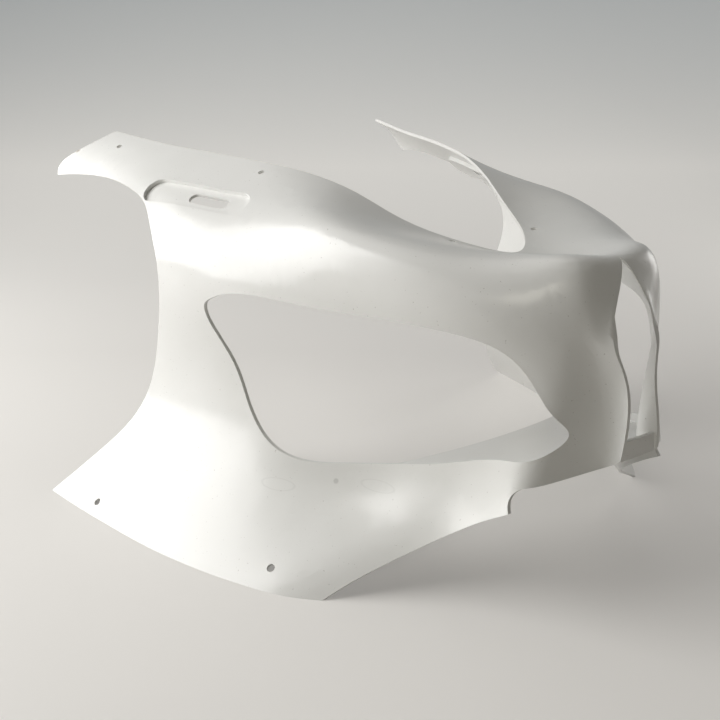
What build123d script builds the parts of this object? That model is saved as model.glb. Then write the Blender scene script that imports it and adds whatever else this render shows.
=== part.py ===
"""Motorcycle upper fairing: one moulded fibreglass shell, drawn as a lines plan and lofted tail to nose.

+X is forward, +Y is left and +Z is up. The shell stands on the hems of its two lower wings, and the
origin lies on that floor, midway along the length, in the plane of symmetry.
"""
import os

from build123d import *

os.makedirs("parts", exist_ok=True)

# Laminate, in millimetres
WALL = 3.0

# Lines plan, tail to nose: station, crown height, then half-breadth and height at the screen rim, the
# valley beside it, the shoulder crest, the upper wall, the waist, the wing root, mid wing and the hem
LINES = (
    (-320, 342, (182, 338), (206, 315), (236, 297), (242, 262), (236, 190), (262, 66), (298, 30), (340, -12)),
    (-200, 342, (152, 332), (180, 312), (208, 297), (224, 262), (226, 186), (250, 66), (286, 30), (328, -12)),
    (-90, 338, (122, 327), (152, 308), (190, 293), (213, 258), (214, 180), (230, 66), (266, 30), (309, -12)),
    (30, 308, (81, 301), (112, 290), (156, 287), (178, 252), (172, 168), (188, 66), (229, 30), (276, -12)),
    (130, 264, (35, 270), (70, 275), (124, 283), (138, 240), (118, 150), (126, 68), (173, 31), (226, -12)),
    (200, 260, (26, 264), (50, 272), (90, 276), (104, 226), (90, 150), (92, 92), (114, 45), (154, -12)),
    (250, 272, (16, 274), (30, 275), (54, 267), (66, 210), (70, 160), (78, 115), (91, 75), (114, 20)),
    (280, 266, (9, 266), (15, 263), (21, 252), (26, 206), (35, 158), (46, 118), (56, 92), (72, 60)),
    (296, 256, (7, 255), (11, 251), (14, 242), (16, 206), (19, 160), (25, 118), (30, 92), (38, 60)),
)
STATION_COUNT = 20
SECTION_POINTS = 15

# Screen opening: station and half-breadth of its rim, tail to apex
SCREEN_RIM = ((-360, 195), (-289, 175), (-63, 115), (40, 76), (111, 46), (137, 28))
SCREEN_APEX = 155
SCREEN_FLOOR = 236

# Side outline: stations and heights of the trimmed edges
HEM_TAIL = -166
HEM_FRONT = 153
WING_FRONT = ((164, 16), (180, 33), (221, 68), (251, 88))
NOTCH_TOP = (248, 99)
NOSE_EDGE = ((255, 108), (276, 116), (295, 130))
FRONT_EDGE = ((294, 165), (287, 199), (277, 234), (271, 256), (262, 290))
HORN_END = ((-276, 346), (-284, 320), (-295, 305), (-290, 294))
TAIL_EDGE = ((-222, 298), (-164, 292), (-112, 276), (-80, 238), (-88, 185), (-105, 135), (-122, 75),
             (-143, 40))
WINDOW_TOP = ((-17, 212), (-2, 219), (76, 222), (190, 220), (228, 210), (258, 168), (267, 145))
WINDOW_BOTTOM = ((262, 134), (236, 124), (188, 107), (105, 85), (60, 82), (32, 94), (12, 117), (-6, 164))

# Belly floor from the front slot back under the windows, with an upturned chin below the slot
BELLY_TAIL = (112, 82)
BELLY_NOSE = (294, 131)
BELLY_BOW = 34
BELLY_HALF = 150
CHIN_HEIGHT = 12

# Fixing holes for the screen and the wings, on the left side: a point on each and the way it is drilled
SCREEN_HOLE_DIAMETER = 6.0
SCREEN_HOLES = (
    ((-239, 181, 324), (0.20, 0.46, 0.87)),
    ((-48, 123, 313), (0.20, 0.42, 0.88)),
    ((129, 47, 270), (0.05, -0.21, 0.98)),
)
WING_HOLE_DIAMETER = 7.0
WING_HOLES = (((-98, 286, 9), (0.14, 0.70, 0.70)), ((106, 213, 13), (0.32, 0.57, 0.76)))
DRILL_REACH = 12

# Pressed recess for the direction lamp on the left shoulder, with a slot through its floor
LAMP_CENTRE = (-80, 175, 292)
LAMP_RUN = (118, -41, -6)
LAMP_FACE = (0.22, 0.51, 0.83)
LAMP_LENGTH = 128
LAMP_BREADTH = 29
LAMP_DEPTH = 4.0
LAMP_SLOT_LENGTH = 46
LAMP_SLOT_BREADTH = 12
LAMP_SLOT_SHIFT = 16
LAMP_REACH = 22

# Reach of the trimming cuts, well past the shell
REACH = 800


def eased(x, values):
    """Smooth value at station x between the rows of the lines plan."""
    stations = [row[0] for row in LINES]
    last = len(stations) - 1
    span = max(index for index in range(last) if stations[index] <= max(x, stations[0]))

    def slope(index):
        before, after = max(index - 1, 0), min(index + 1, last)
        return (values[after] - values[before]) / (stations[after] - stations[before])

    length = stations[span + 1] - stations[span]
    t = (x - stations[span]) / length
    start = (2 * t**3 - 3 * t**2 + 1) * values[span] + (t**3 - 2 * t**2 + t) * length * slope(span)
    end = (3 * t**2 - 2 * t**3) * values[span + 1] + (t**3 - t**2) * length * slope(span + 1)
    return start + end


def section_points(x):
    """Evenly spaced points of the whole section at x, and the same points moved in by the wall."""
    half = []
    for line in range(2, len(LINES[0])):
        breadth = eased(x, [row[line][0] for row in LINES])
        height = eased(x, [row[line][1] for row in LINES])
        half.append(Vector(breadth, height))
    crown = Vector(0, eased(x, [row[1] for row in LINES]))
    mirrored = [Vector(-point.X, point.Y) for point in reversed(half)]
    curve = Edge.make_spline(mirrored + [crown] + half)
    shares = [step / (SECTION_POINTS - 1) for step in range(SECTION_POINTS)]
    outer = [curve.position_at(share) for share in shares]
    tangents = [curve.tangent_at(share) for share in shares]
    inner = [point + Vector(along.Y, -along.X) * WALL for point, along in zip(outer, tangents)]
    return outer, inner


tail, nose = LINES[0][0], LINES[-1][0]
stations = [tail + (nose - tail) * step / (STATION_COUNT - 1) for step in range(STATION_COUNT)]
sections = [section_points(station) for station in stations]

with BuildPart() as belly:
    # Space between the walls, out to the middle of the laminate
    for station, (outer, inner) in zip(stations, sections):
        middle = [(start + end) / 2 for start, end in zip(outer, inner)]
        with BuildSketch(Plane.YZ.offset(station)):
            with BuildLine():
                Spline(*middle)
                Line(middle[-1], middle[0])
            make_face()
    loft()
    # Floor and chin in side view
    tail_x, tail_z = BELLY_TAIL
    nose_x, nose_z = BELLY_NOSE
    with BuildSketch(Plane.XZ):
        with BuildLine():
            Polyline(
                (tail_x, tail_z),
                (nose_x - WALL, nose_z),
                (nose_x - WALL, nose_z + CHIN_HEIGHT),
                (nose_x, nose_z + CHIN_HEIGHT),
                (nose_x, nose_z - WALL),
                (tail_x, tail_z - WALL),
                close=True,
            )
        make_face()
    extrude(amount=REACH, both=True, mode=Mode.INTERSECT)
    # Bowed rear edge in plan
    with BuildSketch():
        with BuildLine():
            ThreePointArc((tail_x, -BELLY_HALF), (tail_x + BELLY_BOW, 0), (tail_x, BELLY_HALF))
            Line((tail_x, BELLY_HALF), (tail_x, -BELLY_HALF))
        make_face()
    extrude(amount=REACH, mode=Mode.SUBTRACT)

with BuildPart() as skin:
    # Laminate
    for station, (outer, inner) in zip(stations, sections):
        with BuildSketch(Plane.YZ.offset(station)):
            with BuildLine():
                Spline(*outer)
                Line(outer[-1], inner[-1])
                Spline(*reversed(inner))
                Line(inner[0], outer[0])
            make_face()
    loft()
    # Screen opening
    with BuildSketch(Plane.XY.offset(SCREEN_FLOOR)):
        with BuildLine():
            Spline(*SCREEN_RIM, (SCREEN_APEX, 0), *[(x, -y) for x, y in reversed(SCREEN_RIM)])
            Line((SCREEN_RIM[0][0], -SCREEN_RIM[0][1]), SCREEN_RIM[0])
        make_face()
    extrude(amount=REACH, mode=Mode.SUBTRACT)
    # Side outline
    with BuildSketch(Plane.XZ):
        with BuildLine():
            Line((HEM_TAIL, 0), (HEM_FRONT, 0))
            Spline((HEM_FRONT, 0), *WING_FRONT)
            Spline(WING_FRONT[-1], NOTCH_TOP, NOSE_EDGE[0])
            Spline(*NOSE_EDGE)
            Spline(NOSE_EDGE[-1], *FRONT_EDGE)
            Polyline(FRONT_EDGE[-1], (FRONT_EDGE[-1][0], REACH), (HORN_END[0][0], REACH), HORN_END[0])
            Spline(*HORN_END)
            Spline(HORN_END[-1], *TAIL_EDGE, (HEM_TAIL, 0))
        make_face()
    extrude(amount=REACH, both=True, mode=Mode.INTERSECT)
    # Windows
    with BuildSketch(Plane.XZ):
        with BuildLine():
            Spline(*WINDOW_TOP, *WINDOW_BOTTOM, periodic=True)
        make_face()
    extrude(amount=REACH, both=True, mode=Mode.SUBTRACT)
    add(belly.part)

lamp_face = Vector(*LAMP_FACE).normalized()
lamp_plane = Plane(LAMP_CENTRE, x_dir=LAMP_RUN, z_dir=lamp_face)
lamp_plane_right = Plane(
    (LAMP_CENTRE[0], -LAMP_CENTRE[1], LAMP_CENTRE[2]),
    x_dir=(LAMP_RUN[0], -LAMP_RUN[1], LAMP_RUN[2]),
    z_dir=(lamp_face.X, -lamp_face.Y, lamp_face.Z),
)

with BuildPart() as lamp_floor:
    # Patch of the skin under the recess, with a margin of one wall
    add(skin.part)
    with BuildSketch(lamp_plane):
        SlotOverall(LAMP_LENGTH + 2 * WALL, LAMP_BREADTH + 2 * WALL)
    extrude(amount=LAMP_REACH, both=True, mode=Mode.INTERSECT)

with BuildPart() as lamp_rim:
    # The margin alone, which becomes the wall of the recess
    add(lamp_floor.part)
    with BuildSketch(lamp_plane):
        SlotOverall(LAMP_LENGTH, LAMP_BREADTH)
    extrude(amount=LAMP_REACH, both=True, mode=Mode.SUBTRACT)

with BuildPart() as lamp_recess:
    # Floor at full depth, wall at half depth, and the slot through the floor
    add(lamp_floor.part.moved(Location(-lamp_face * LAMP_DEPTH)))
    add(lamp_rim.part.moved(Location(-lamp_face * LAMP_DEPTH / 2)))
    with BuildSketch(lamp_plane):
        with Locations((LAMP_SLOT_SHIFT, 0)):
            SlotOverall(LAMP_SLOT_LENGTH, LAMP_SLOT_BREADTH)
    extrude(amount=LAMP_REACH, both=True, mode=Mode.SUBTRACT)

with BuildPart() as fairing_shell:
    add(skin.part)
    # Recesses for the direction lamps, on both shoulders
    with BuildSketch(lamp_plane, lamp_plane_right):
        SlotOverall(LAMP_LENGTH, LAMP_BREADTH)
    extrude(amount=LAMP_REACH, both=True, mode=Mode.SUBTRACT)
    add(lamp_recess.part)
    add(lamp_recess.part.mirror(Plane.XZ))
    # Fixing holes
    for side in (1, -1):
        for holes, diameter in ((SCREEN_HOLES, SCREEN_HOLE_DIAMETER), (WING_HOLES, WING_HOLE_DIAMETER)):
            for (x, y, z), (along_x, along_y, along_z) in holes:
                with Locations(Plane((x, side * y, z), z_dir=(along_x, side * along_y, along_z))):
                    Cylinder(diameter / 2, 2 * DRILL_REACH, mode=Mode.SUBTRACT)

fairing_shell.part.label = "fairing_shell"
export_step(fairing_shell.part, "parts/fairing_shell.step")
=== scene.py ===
import math

import bmesh
import bpy
from bpy.props import FloatProperty, FloatVectorProperty, PointerProperty
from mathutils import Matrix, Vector


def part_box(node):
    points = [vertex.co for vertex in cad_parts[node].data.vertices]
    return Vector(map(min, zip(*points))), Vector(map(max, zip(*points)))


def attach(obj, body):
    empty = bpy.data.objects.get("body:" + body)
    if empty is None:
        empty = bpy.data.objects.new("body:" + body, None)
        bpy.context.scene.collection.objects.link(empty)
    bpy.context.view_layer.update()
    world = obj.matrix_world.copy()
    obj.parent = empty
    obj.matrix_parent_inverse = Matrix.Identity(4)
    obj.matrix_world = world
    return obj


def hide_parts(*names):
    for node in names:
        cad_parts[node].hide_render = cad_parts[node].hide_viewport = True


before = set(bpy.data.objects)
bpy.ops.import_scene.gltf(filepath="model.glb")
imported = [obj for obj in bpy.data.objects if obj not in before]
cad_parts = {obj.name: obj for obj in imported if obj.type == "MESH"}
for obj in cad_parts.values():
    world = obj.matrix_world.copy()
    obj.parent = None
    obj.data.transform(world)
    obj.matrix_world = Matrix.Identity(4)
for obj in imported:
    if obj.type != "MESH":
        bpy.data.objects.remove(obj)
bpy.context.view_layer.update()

bl_info = {
    "name": "Motorcycle fairing",
    "version": (1, 0, 0),
    "blender": (4, 5, 0),
    "location": "View3D > Sidebar > Fairing",
    "description": "Dresses a moulded fibreglass upper fairing and sets its studio",
    "category": "Object",
}

SHELL_NODE = "fairing_shell"
SHELL_LOW, SHELL_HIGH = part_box(SHELL_NODE)
SHELL_MIDDLE = (SHELL_LOW + SHELL_HIGH) / 2
UP = Vector((0, 0, 1))

# Pointed top of the front slot: half breadths at heights above its foot, and how far back the cut goes.
SLOT_FOOT = SHELL_HIGH.z - 0.115
SLOT_PEAK = SHELL_HIGH.z - 0.063
SLOT_SIDE = ((0.0205, 0.0), (0.0205, 0.014), (0.0135, 0.028), (0.006, 0.042))
SLOT_REAR = SHELL_HIGH.x - 0.044
SLOT_FRONT = SHELL_HIGH.x + 0.02

# Marks on the gelcoat: a chip on the right horn, and a scuff and two pad outlines on the right wing.
CHIP = Vector((SHELL_LOW.x + 0.008, -0.207, 0.316))
CHIP_RADIUS = 0.005
CHIP_COLOUR = (0.24, 0.19, 0.12)
SCUFF = Vector((0.0992, -0.1432, 0.0696))
SCUFF_RADIUS = 0.0028
SCUFF_COLOUR = (0.42, 0.42, 0.40)
PADS = (Vector((0.0602, -0.1776, 0.0608)), Vector((0.1318, -0.1228, 0.0723)))
PAD_HALF = (0.0155, 0.0155, 0.0042)
PAD_COLOUR = (0.40, 0.40, 0.38)
DUST_COLOUR = (0.30, 0.28, 0.25)

# Darker and paler relatives of the colours in the settings.
LINING_SHADE = 0.86
# The glass white also pales the cut edges, as a painted highlight along them.
GLASS_RESIN, GLASS_WHITE_AND_EDGE_HIGHLIGHT = 0.3, 0.57
PAPER_SHADE = 0.97

# Floor sweep, measured from under the object, and where its glow starts, turns and ends.
SWEEP_HALF_WIDTH = 5.0
SWEEP_FRONT = 2.5
SWEEP_BACK = 0.9
SWEEP_RADIUS = 2.4
SWEEP_WALL = 2.0
SWEEP_STEPS = 24
GLOW_NEAR, GLOW_FAR = 0.4, 2.5
GLOW_TURN = 0.6

# Soft lights: where they stand from the middle of the shell or the side of its nose, and their sizes.
KEY_BESIDE, KEY_AHEAD, KEY_UP = -1.35, -0.10, 0.60
KEY_SIZE = 1.3
KEY_TINT = (1.0, 0.995, 0.98)
TOP_BESIDE, TOP_AHEAD, TOP_UP = -0.2, 0.25, 1.7
TOP_SIZE = 1.4
TOP_TINT = (1.0, 0.98, 0.95)
FAR_OFFSET = Vector((0.25, 1.55, 0.35))
FAR_SIZE = 0.7
FAR_TINT = (1.0, 0.985, 0.96)
NOSE_SIDE = Vector((SHELL_HIGH.x - 0.057, -0.074, SHELL_HIGH.z - 0.089))
CATCH_WAY = Vector((0.66, -0.65, 0.37))
CATCH_REACH = 1.1
CATCH_SIZE = 0.24
CATCH_TINT = (1.0, 0.97, 0.86)
AMBIENT_TINT = (1.0, 0.88, 0.66)
SENSOR_WIDTH = 36.0


class ShellSettings(bpy.types.PropertyGroup):
    """Finish of the moulded shell."""

    weld: FloatProperty(
        name="Weld",
        description="Points of the mesh that lie closer than this are joined",
        default=0.00002,
        unit="LENGTH",
    )
    crease: FloatProperty(
        name="Crease",
        description="Two faces that meet at more than this angle keep a sharp edge",
        default=math.radians(38),
        subtype="ANGLE",
    )
    strip: FloatProperty(
        name="Cut edge breadth",
        description="A smooth stretch narrower than this is a cut edge of the laminate",
        default=0.0045,
        unit="LENGTH",
    )
    gelcoat: FloatVectorProperty(
        name="Gelcoat",
        description="Colour of the polished outer face",
        default=(0.80, 0.80, 0.785),
        subtype="COLOR",
    )
    gelcoat_worn: FloatVectorProperty(
        name="Worn gelcoat",
        description="Colour where the outer face has greyed",
        default=(0.70, 0.70, 0.675),
        subtype="COLOR",
    )
    lining: FloatVectorProperty(
        name="Lining",
        description="Colour of the painted inner face",
        default=(0.78, 0.78, 0.765),
        subtype="COLOR",
    )
    # Cut edge colour: resin and glass, made paler as a painted highlight along the edges.
    laminate: FloatVectorProperty(
        name="Laminate",
        description="Colour of the cut resin and glass at the edges",
        default=(0.70, 0.64, 0.54),
        subtype="COLOR",
    )


class StageSettings(bpy.types.PropertyGroup):
    """Floor, light and camera."""

    floor: FloatVectorProperty(
        name="Floor",
        description="Colour of the floor and of the sweep behind it",
        default=(0.64, 0.625, 0.60),
        subtype="COLOR",
    )
    glow_floor: FloatVectorProperty(
        name="Floor glow",
        description="Added to the colour of the floor where it is seen, without lighting the object",
        default=(0.19, 0.186, 0.182),
        subtype="COLOR",
    )
    glow_foot: FloatVectorProperty(
        name="Wall foot glow",
        description="Added where the floor starts to rise, without lighting the object",
        default=(0.42, 0.415, 0.40),
        subtype="COLOR",
    )
    glow_wall: FloatVectorProperty(
        name="Wall glow",
        description="Added to the colour of the wall where it is seen, without lighting the object",
        default=(0.27, 0.288, 0.295),
        subtype="COLOR",
    )
    backdrop: FloatVectorProperty(
        name="Backdrop",
        description="Colour that is seen past the end of the floor",
        default=(0.40, 0.40, 0.395),
        subtype="COLOR",
    )
    key_power: FloatProperty(
        name="Key light",
        description="Power of the large soft light on the left, in watts",
        default=26.5,
    )
    top_power: FloatProperty(
        name="Top light",
        description="Power of the overhead soft light, in watts",
        default=4.0,
    )
    far_power: FloatProperty(
        name="Far light",
        description="Power of the soft light that fills the far side, in watts",
        default=4.5,
    )
    catch_power: FloatProperty(
        name="Catch light",
        description="Power of the small soft light behind the camera, in watts",
        default=1.2,
    )
    ambient: FloatProperty(
        name="Ambient",
        description="Strength of the even light from all round",
        default=0.05,
    )
    lens: FloatProperty(
        name="Lens",
        description="Focal length of the camera, in millimetres on a 36 mm sensor",
        default=45.0,
    )
    azimuth: FloatProperty(
        name="Azimuth",
        description="How far the camera stands round from the right side towards the nose",
        default=math.radians(54.6),
        subtype="ANGLE",
    )
    pitch: FloatProperty(
        name="Pitch",
        description="How far the camera looks down",
        default=math.radians(18.7),
        subtype="ANGLE",
    )
    eye: FloatVectorProperty(
        name="Eye",
        description="Where the camera stands",
        default=(0.676, -0.528, 0.413),
        subtype="TRANSLATION",
        unit="LENGTH",
    )


def grey(value):
    return (value, value, value)


def seen_rays(tree):
    """1 for what is seen directly, in gloss and through glass, and 0 for light that falls on things."""
    path = tree.nodes.new("ShaderNodeLightPath")
    seen = path.outputs["Is Camera Ray"]
    for ray in ("Is Glossy Ray", "Is Transmission Ray"):
        either = tree.nodes.new("ShaderNodeMath")
        either.operation = "MAXIMUM"
        tree.links.new(seen, either.inputs[0])
        tree.links.new(path.outputs[ray], either.inputs[1])
        seen = either.outputs["Value"]
    return seen


class Nodes:
    """Node tree of a new material that is wired from its Object coordinates to its shader."""

    soft_rim = 0.6
    oval_line = 0.06

    def __init__(self, name):
        self.material = bpy.data.materials.new(name)
        self.material.use_nodes = True
        self.tree = self.material.node_tree
        self.shader = self.tree.nodes["Principled BSDF"]
        self.place = self.tree.nodes.new("ShaderNodeTexCoord").outputs["Object"]

    def link(self, start, end):
        self.tree.links.new(start, end)

    def noise(self, scale, detail=2.0, stretch=(1, 1, 1)):
        """Grey value of a noise whose lumps are about 1 / scale metres across."""
        mapping = self.tree.nodes.new("ShaderNodeMapping")
        mapping.inputs["Scale"].default_value = stretch
        self.link(self.place, mapping.inputs["Vector"])
        noise = self.tree.nodes.new("ShaderNodeTexNoise")
        noise.inputs["Scale"].default_value = scale
        noise.inputs["Detail"].default_value = detail
        self.link(mapping.outputs["Vector"], noise.inputs["Vector"])
        return noise.outputs["Fac"]

    def ramp(self, value, stops):
        """Colours or greys along a value, as (place, colour) stops."""
        ramp = self.tree.nodes.new("ShaderNodeValToRGB")
        elements = ramp.color_ramp.elements
        while len(elements) < len(stops):
            elements.new(0.5)
        for element, (place, colour) in zip(elements, stops):
            element.position = place
            element.color = (*colour, 1)
        self.link(value, ramp.inputs["Fac"])
        return ramp.outputs["Color"]

    def mix(self, share, under, colour):
        """A colour laid over a colour output, by a grey share."""
        mix = self.tree.nodes.new("ShaderNodeMix")
        mix.data_type = "RGBA"
        self.link(share, mix.inputs["Factor"])
        self.link(under, mix.inputs["A"])
        mix.inputs["B"].default_value = (*colour, 1)
        return mix.outputs["Result"]

    def vector(self, operation, value, fixed=(0, 0, 0)):
        """Outputs of an operation on a vector output and a fixed vector."""
        node = self.tree.nodes.new("ShaderNodeVectorMath")
        node.operation = operation
        self.link(value, node.inputs[0])
        node.inputs[1].default_value = fixed
        return node.outputs

    def span(self, value, low, high, start=0.0, end=1.0):
        """A value that goes from low to high, and no further, while another goes from start to end."""
        spread = self.tree.nodes.new("ShaderNodeMapRange")
        spread.inputs["From Min"].default_value = start
        spread.inputs["From Max"].default_value = end
        spread.inputs["To Min"].default_value = low
        spread.inputs["To Max"].default_value = high
        self.link(value, spread.inputs["Value"])
        return spread.outputs["Result"]

    def spot(self, centre, radius):
        """White inside a ball round a point of the object, black outside, with a soft rim."""
        reach = self.vector("DISTANCE", self.place, centre)["Value"]
        return self.span(reach, 0.0, 1.0, start=radius, end=self.soft_rim * radius)

    def oval(self, centre, half):
        """White on a thin line round a flattened ball about a point of the object, black elsewhere."""
        offset = self.vector("SUBTRACT", self.place, centre)["Vector"]
        share = self.vector("DIVIDE", offset, [2 * size for size in half])["Vector"]
        reach = self.vector("LENGTH", share)["Value"]
        inside, outside = 0.5 - self.oval_line, 0.5 + self.oval_line
        return self.ramp(reach, [(inside, grey(0)), (0.5, grey(1)), (outside, grey(0))])

    def along(self, way, near, far):
        """Grey value that rises from 0 to 1 between two distances from the object's origin along a way."""
        reach = self.vector("DOT_PRODUCT", self.place, way)["Value"]
        return self.span(reach, 0.0, 1.0, start=near, end=far)

    def glow(self, colour):
        """Light that is seen directly, in gloss and through glass, and that falls on nothing."""
        self.link(colour, self.shader.inputs["Emission Color"])
        self.link(seen_rays(self.tree), self.shader.inputs["Emission Strength"])

    def bump(self, layers):
        """Fine relief, as (value, height in metres, strength) layers, one over the other."""
        normal = None
        for value, height, strength in layers:
            bump = self.tree.nodes.new("ShaderNodeBump")
            bump.inputs["Distance"].default_value = height
            bump.inputs["Strength"].default_value = strength
            self.link(value, bump.inputs["Height"])
            if normal:
                self.link(normal, bump.inputs["Normal"])
            normal = bump.outputs["Normal"]
        self.link(normal, self.shader.inputs["Normal"])

    def fix(self, values):
        """Numbers that are the same all over, on the shader's own sockets."""
        for name, value in values.items():
            self.shader.inputs[name].default_value = value


def gelcoat_material(settings):
    """Polished white gelcoat: greyed in patches, dusty, finely scratched, with a faint print of the mat."""
    nodes = Nodes("gelcoat")
    patches = nodes.noise(scale=5.0, detail=3.0)
    coat = nodes.ramp(patches, [(0.35, settings.gelcoat), (0.75, settings.gelcoat_worn)])
    dust = nodes.ramp(nodes.noise(scale=520.0, detail=1.0), [(0.74, grey(0)), (0.80, grey(1))])
    coat = nodes.mix(nodes.span(dust, low=0.0, high=0.45), coat, DUST_COLOUR)
    coat = nodes.mix(nodes.spot(CHIP, CHIP_RADIUS), coat, CHIP_COLOUR)
    scuff = nodes.spot(SCUFF, SCUFF_RADIUS)
    coat = nodes.mix(nodes.span(scuff, low=0.0, high=0.5), coat, SCUFF_COLOUR)
    for centre in PADS:
        outline = nodes.oval(centre, PAD_HALF)
        coat = nodes.mix(nodes.span(outline, low=0.0, high=0.16), coat, PAD_COLOUR)
    nodes.link(coat, nodes.shader.inputs["Base Color"])
    polish = nodes.noise(scale=14.0, detail=4.0)
    nodes.link(nodes.span(polish, low=0.26, high=0.40), nodes.shader.inputs["Roughness"])
    waves = nodes.noise(scale=22.0)
    mat = nodes.noise(scale=380.0)
    scratches = nodes.noise(scale=90.0, detail=1.0, stretch=(1, 12, 1))
    nodes.bump([(waves, 0.0006, 0.02), (mat, 0.0001, 0.06), (scratches, 0.0001, 0.05)])
    nodes.fix({"Coat Weight": 0.40, "Coat Roughness": 0.20})
    return nodes.material


def lining_material(settings):
    """Inner face: resin over chopped glass mat, painted white and left rough."""
    nodes = Nodes("lining")
    strands = nodes.noise(scale=150.0, stretch=(1, 5, 1))
    crossing = nodes.noise(scale=150.0, stretch=(5, 1, 2))
    shade = tuple(LINING_SHADE * channel for channel in settings.lining)
    paint = nodes.ramp(strands, [(0.35, shade), (0.65, settings.lining)])
    nodes.link(paint, nodes.shader.inputs["Base Color"])
    nodes.link(nodes.span(crossing, low=0.35, high=0.60), nodes.shader.inputs["Roughness"])
    nodes.bump([(strands, 0.0004, 0.35), (crossing, 0.0004, 0.35)])
    return nodes.material


def cut_edge_material(settings):
    """Sawn and sanded laminate: yellow-brown resin with pale glass layers, its colours made paler as a
    painted highlight along the edges.
    """
    nodes = Nodes("cut_edge")
    layers = nodes.noise(scale=260.0, detail=3.0)
    # Paler glass layers; with the laminate colour they also carry a painted highlight along the edges.
    pale = tuple(GLASS_RESIN * channel + GLASS_WHITE_AND_EDGE_HIGHLIGHT for channel in settings.laminate)
    resin = nodes.ramp(layers, [(0.35, settings.laminate), (0.62, pale)])
    nodes.link(resin, nodes.shader.inputs["Base Color"])
    nodes.link(nodes.span(layers, low=0.40, high=0.65), nodes.shader.inputs["Roughness"])
    nodes.bump([(layers, 0.0003, 0.30)])
    return nodes.material


def paper_material(settings, ahead):
    """Studio paper of the sweep, with a glow that changes on its way from the floor up the wall."""
    nodes = Nodes("studio_paper")
    shade = tuple(PAPER_SHADE * channel for channel in settings.floor)
    paper = nodes.ramp(nodes.noise(scale=1.2), [(0.3, settings.floor), (0.7, shade)])
    nodes.link(paper, nodes.shader.inputs["Base Color"])
    stops = [(0.0, settings.glow_floor), (GLOW_TURN, settings.glow_foot), (1.0, settings.glow_wall)]
    nodes.glow(nodes.ramp(nodes.along(ahead, GLOW_NEAR, GLOW_FAR), stops))
    nodes.fix({"Roughness": 0.55, "Specular IOR Level": 0.3})
    return nodes.material


def studio_world(settings):
    """Weak warm light from all round, and a pale backdrop that is only seen."""
    world = bpy.data.worlds.new("studio")
    world.use_nodes = True
    tree = world.node_tree
    light = tree.nodes["Background"]
    light.inputs["Color"].default_value = (*AMBIENT_TINT, 1)
    light.inputs["Strength"].default_value = settings.ambient
    backdrop = tree.nodes.new("ShaderNodeBackground")
    backdrop.inputs["Color"].default_value = (*settings.backdrop, 1)
    either = tree.nodes.new("ShaderNodeMixShader")
    tree.links.new(seen_rays(tree), either.inputs["Fac"])
    tree.links.new(light.outputs["Background"], either.inputs[1])
    tree.links.new(backdrop.outputs["Background"], either.inputs[2])
    tree.links.new(either.outputs["Shader"], tree.nodes["World Output"].inputs["Surface"])
    return world


def slot_cutter():
    """Block in the form of the pointed top of the front slot, from inside the nose to past its front."""
    side = [(breadth, SLOT_FOOT + rise) for breadth, rise in SLOT_SIDE]
    other_side = [(-breadth, height) for breadth, height in reversed(side)]
    outline = side + [(0.0, SLOT_PEAK)] + other_side
    bm = bmesh.new()
    face = bm.faces.new([bm.verts.new((SLOT_REAR, breadth, height)) for breadth, height in outline])
    grown = bmesh.ops.extrude_face_region(bm, geom=[face])["geom"]
    points = [item for item in grown if isinstance(item, bmesh.types.BMVert)]
    bmesh.ops.translate(bm, verts=points, vec=(SLOT_FRONT - SLOT_REAR, 0, 0))
    bmesh.ops.recalc_face_normals(bm, faces=bm.faces)
    mesh = bpy.data.meshes.new("slot_cutter")
    bm.to_mesh(mesh)
    bm.free()
    return bpy.data.objects.new("slot_cutter", mesh)


def open_slot(context, shell):
    """Carry the slot of a shell up to the top of its nose."""
    cutter = slot_cutter()
    context.scene.collection.objects.link(cutter)
    cut = shell.modifiers.new("Front slot", "BOOLEAN")
    cut.operation = "DIFFERENCE"
    cut.solver = "EXACT"
    cut.object = cutter
    opened = bpy.data.meshes.new_from_object(shell.evaluated_get(context.evaluated_depsgraph_get()))
    shell.modifiers.clear()
    shell.data = opened
    bpy.data.objects.remove(cutter)


def smooth_stretches(bm):
    """Groups of faces that join across smooth edges."""
    waiting = set(bm.faces)
    while waiting:
        stretch = {waiting.pop()}
        front = list(stretch)
        while front:
            face = front.pop()
            for edge in face.edges:
                if edge.smooth:
                    beside = [other for other in edge.link_faces if other in waiting]
                    waiting.difference_update(beside)
                    stretch.update(beside)
                    front.extend(beside)
        yield stretch


def faces_outward(stretch):
    """Whether faces look away from the middle of the shell, weighed by their areas."""
    balance = 0.0
    for face in stretch:
        balance += face.calc_area() * face.normal.dot(face.calc_center_median() - SHELL_MIDDLE)
    return balance > 0


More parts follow.
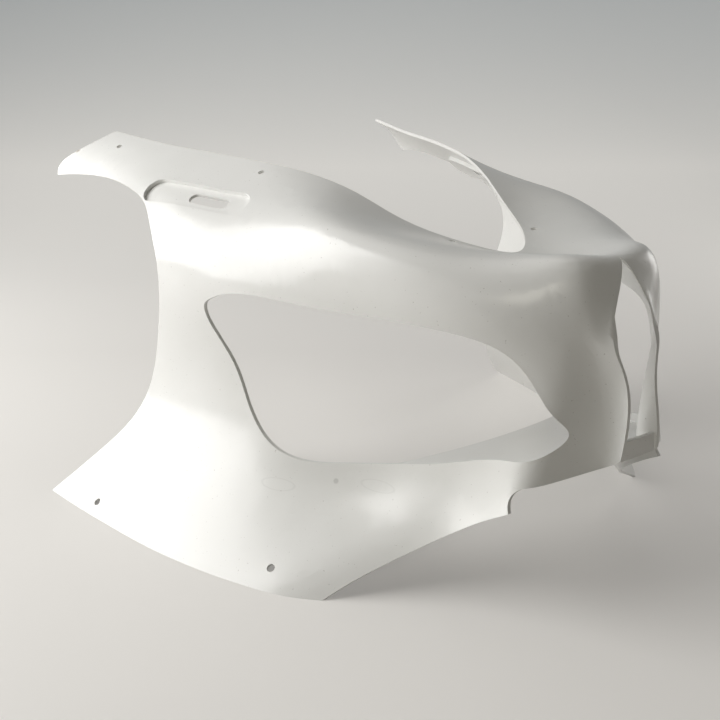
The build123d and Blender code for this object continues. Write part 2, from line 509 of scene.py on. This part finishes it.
class FAIRING_OT_dress_shell(bpy.types.Operator):
    """Weld, crease and finish the moulded shell"""

    bl_idname = "fairing.dress_shell"
    bl_label = "Dress the shell"

    def execute(self, context):
        settings = context.scene.fairing_shell
        mesh = bpy.data.meshes.new("moulded_shell")
        bm = bmesh.new()
        bm.from_mesh(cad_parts[SHELL_NODE].data)
        bmesh.ops.remove_doubles(bm, verts=bm.verts, dist=settings.weld)
        bmesh.ops.dissolve_degenerate(bm, dist=settings.weld, edges=bm.edges)
        bm.to_mesh(mesh)
        shell = bpy.data.objects.new("moulded_shell", mesh)
        context.scene.collection.objects.link(shell)
        open_slot(context, shell)
        bm.clear()
        bm.from_mesh(shell.data)
        self.crease_and_sort(bm, settings)
        bm.to_mesh(shell.data)
        bm.free()
        shell.data.materials.clear()
        for finish in (gelcoat_material, lining_material, cut_edge_material):
            shell.data.materials.append(finish(settings))
        normals = shell.modifiers.new("Even shading", "WEIGHTED_NORMAL")
        normals.keep_sharp = True
        normals.weight = 60
        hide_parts(SHELL_NODE)
        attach(shell, "root")
        return {"FINISHED"}

    def crease_and_sort(self, bm, settings):
        """Mark the sharp edges, and give each smooth stretch its finish."""
        for face in bm.faces:
            face.smooth = True
        for edge in bm.edges:
            edge.smooth = edge.calc_face_angle(0) < settings.crease
        outer, lining, cut_edge = range(3)
        for stretch in smooth_stretches(bm):
            finish = outer if faces_outward(stretch) else lining
            area = sum(face.calc_area() for face in stretch)
            rim = sum(edge.calc_length() for face in stretch for edge in face.edges if not edge.smooth)
            # The breadth of a long strip is twice its area over the length of its rim.
            if 2 * area < settings.strip * rim:
                finish = cut_edge
            for face in stretch:
                face.material_index = finish


def soft_light(scene, name, place, target, size, power, colour):
    """A square soft light at a place, aimed at a target."""
    lamp = bpy.data.lights.new(name, "AREA")
    lamp.shape = "SQUARE"
    lamp.size = size
    lamp.energy = power
    lamp.color = colour
    light = bpy.data.objects.new(name, lamp)
    light.location = place
    light.visible_camera = False
    light.rotation_euler = (target - place).to_track_quat("-Z", "Y").to_euler()
    scene.collection.objects.link(light)


def sweep_mesh(ahead, beside):
    """Floor that curves up into a wall behind the object."""
    bm = bmesh.new()
    start = bm.verts.new(-SWEEP_HALF_WIDTH * beside - SWEEP_FRONT * ahead)
    end = bm.verts.new(SWEEP_HALF_WIDTH * beside - SWEEP_FRONT * ahead)
    edges = [bm.edges.new((start, end))]
    moves = [(SWEEP_FRONT + SWEEP_BACK) * ahead]
    length = SWEEP_RADIUS * math.pi / 2 / SWEEP_STEPS
    for step in range(SWEEP_STEPS):
        turn = math.pi / 2 * (step + 0.5) / SWEEP_STEPS
        moves.append(length * (math.cos(turn) * ahead + math.sin(turn) * UP))
    moves.append(SWEEP_WALL * UP)
    for move in moves:
        grown = bmesh.ops.extrude_edge_only(bm, edges=edges)["geom"]
        points = [item for item in grown if isinstance(item, bmesh.types.BMVert)]
        bmesh.ops.translate(bm, verts=points, vec=move)
        edges = [item for item in grown if isinstance(item, bmesh.types.BMEdge)]
        edges = [edge for edge in edges if all(point in points for point in edge.verts)]
    bmesh.ops.recalc_face_normals(bm, faces=bm.faces)
    for face in bm.faces:
        face.smooth = True
    mesh = bpy.data.meshes.new("floor_sweep")
    bm.to_mesh(mesh)
    bm.free()
    return mesh


class FAIRING_OT_set_stage(bpy.types.Operator):
    """Lay the floor sweep and set the studio light and the camera"""

    bl_idname = "fairing.set_stage"
    bl_label = "Set the stage"

    def execute(self, context):
        scene = context.scene
        settings = scene.fairing_stage
        scene.view_settings.view_transform = "Standard"
        ahead = Vector((-math.sin(settings.azimuth), math.cos(settings.azimuth), 0))
        beside = Vector((ahead.y, -ahead.x, 0))
        self.lay_sweep(scene, settings, ahead, beside)
        self.set_lights(scene, settings, ahead, beside)
        scene.world = studio_world(settings)
        self.set_camera(scene, settings, ahead)
        return {"FINISHED"}

    def lay_sweep(self, scene, settings, ahead, beside):
        """Studio paper under and behind the object."""
        mesh = sweep_mesh(ahead, beside)
        mesh.materials.append(paper_material(settings, ahead))
        sweep = bpy.data.objects.new("floor_sweep", mesh)
        scene.collection.objects.link(sweep)

    def set_lights(self, scene, settings, ahead, beside):
        """A large soft light at the left, and weaker ones above, on the far side and before the nose."""
        middle = SHELL_MIDDLE
        key = middle + KEY_BESIDE * beside + KEY_AHEAD * ahead + KEY_UP * UP
        soft_light(scene, "key_softbox", key, middle, KEY_SIZE, settings.key_power, KEY_TINT)
        top = middle + TOP_AHEAD * ahead + TOP_BESIDE * beside + TOP_UP * UP
        soft_light(scene, "top_softbox", top, middle, TOP_SIZE, settings.top_power, TOP_TINT)
        far = middle + FAR_OFFSET
        soft_light(scene, "far_softbox", far, middle, FAR_SIZE, settings.far_power, FAR_TINT)
        catch = NOSE_SIDE + CATCH_REACH * CATCH_WAY
        soft_light(scene, "catch_softbox", catch, NOSE_SIDE, CATCH_SIZE, settings.catch_power, CATCH_TINT)

    def set_camera(self, scene, settings, ahead):
        """The camera at its place, looking ahead and down."""
        lens = bpy.data.cameras.new("camera")
        lens.sensor_width = SENSOR_WIDTH
        lens.lens = settings.lens
        camera = bpy.data.objects.new("camera", lens)
        camera.location = settings.eye
        view = math.cos(settings.pitch) * ahead - math.sin(settings.pitch) * UP
        camera.rotation_euler = view.to_track_quat("-Z", "Y").to_euler()
        scene.collection.objects.link(camera)
        scene.camera = camera


class FAIRING_PT_sidebar(bpy.types.Panel):
    """Steps that dress the fairing"""

    bl_idname = "FAIRING_PT_sidebar"
    bl_label = "Motorcycle fairing"
    bl_space_type = "VIEW_3D"
    bl_region_type = "UI"
    bl_category = "Fairing"

    def draw(self, context):
        for settings in (context.scene.fairing_shell, context.scene.fairing_stage):
            column = self.layout.column()
            for name in settings.__annotations__:
                column.prop(settings, name)
        self.layout.operator(FAIRING_OT_dress_shell.bl_idname)
        self.layout.operator(FAIRING_OT_set_stage.bl_idname)


CLASSES = (ShellSettings, StageSettings, FAIRING_OT_dress_shell, FAIRING_OT_set_stage, FAIRING_PT_sidebar)


def register():
    for cls in CLASSES:
        bpy.utils.register_class(cls)
    bpy.types.Scene.fairing_shell = PointerProperty(type=ShellSettings)
    bpy.types.Scene.fairing_stage = PointerProperty(type=StageSettings)


def unregister():
    del bpy.types.Scene.fairing_stage
    del bpy.types.Scene.fairing_shell
    for cls in reversed(CLASSES):
        bpy.utils.unregister_class(cls)


def main():
    register()
    bpy.ops.fairing.dress_shell()
    bpy.ops.fairing.set_stage()


if __name__ == "__main__":
    main()
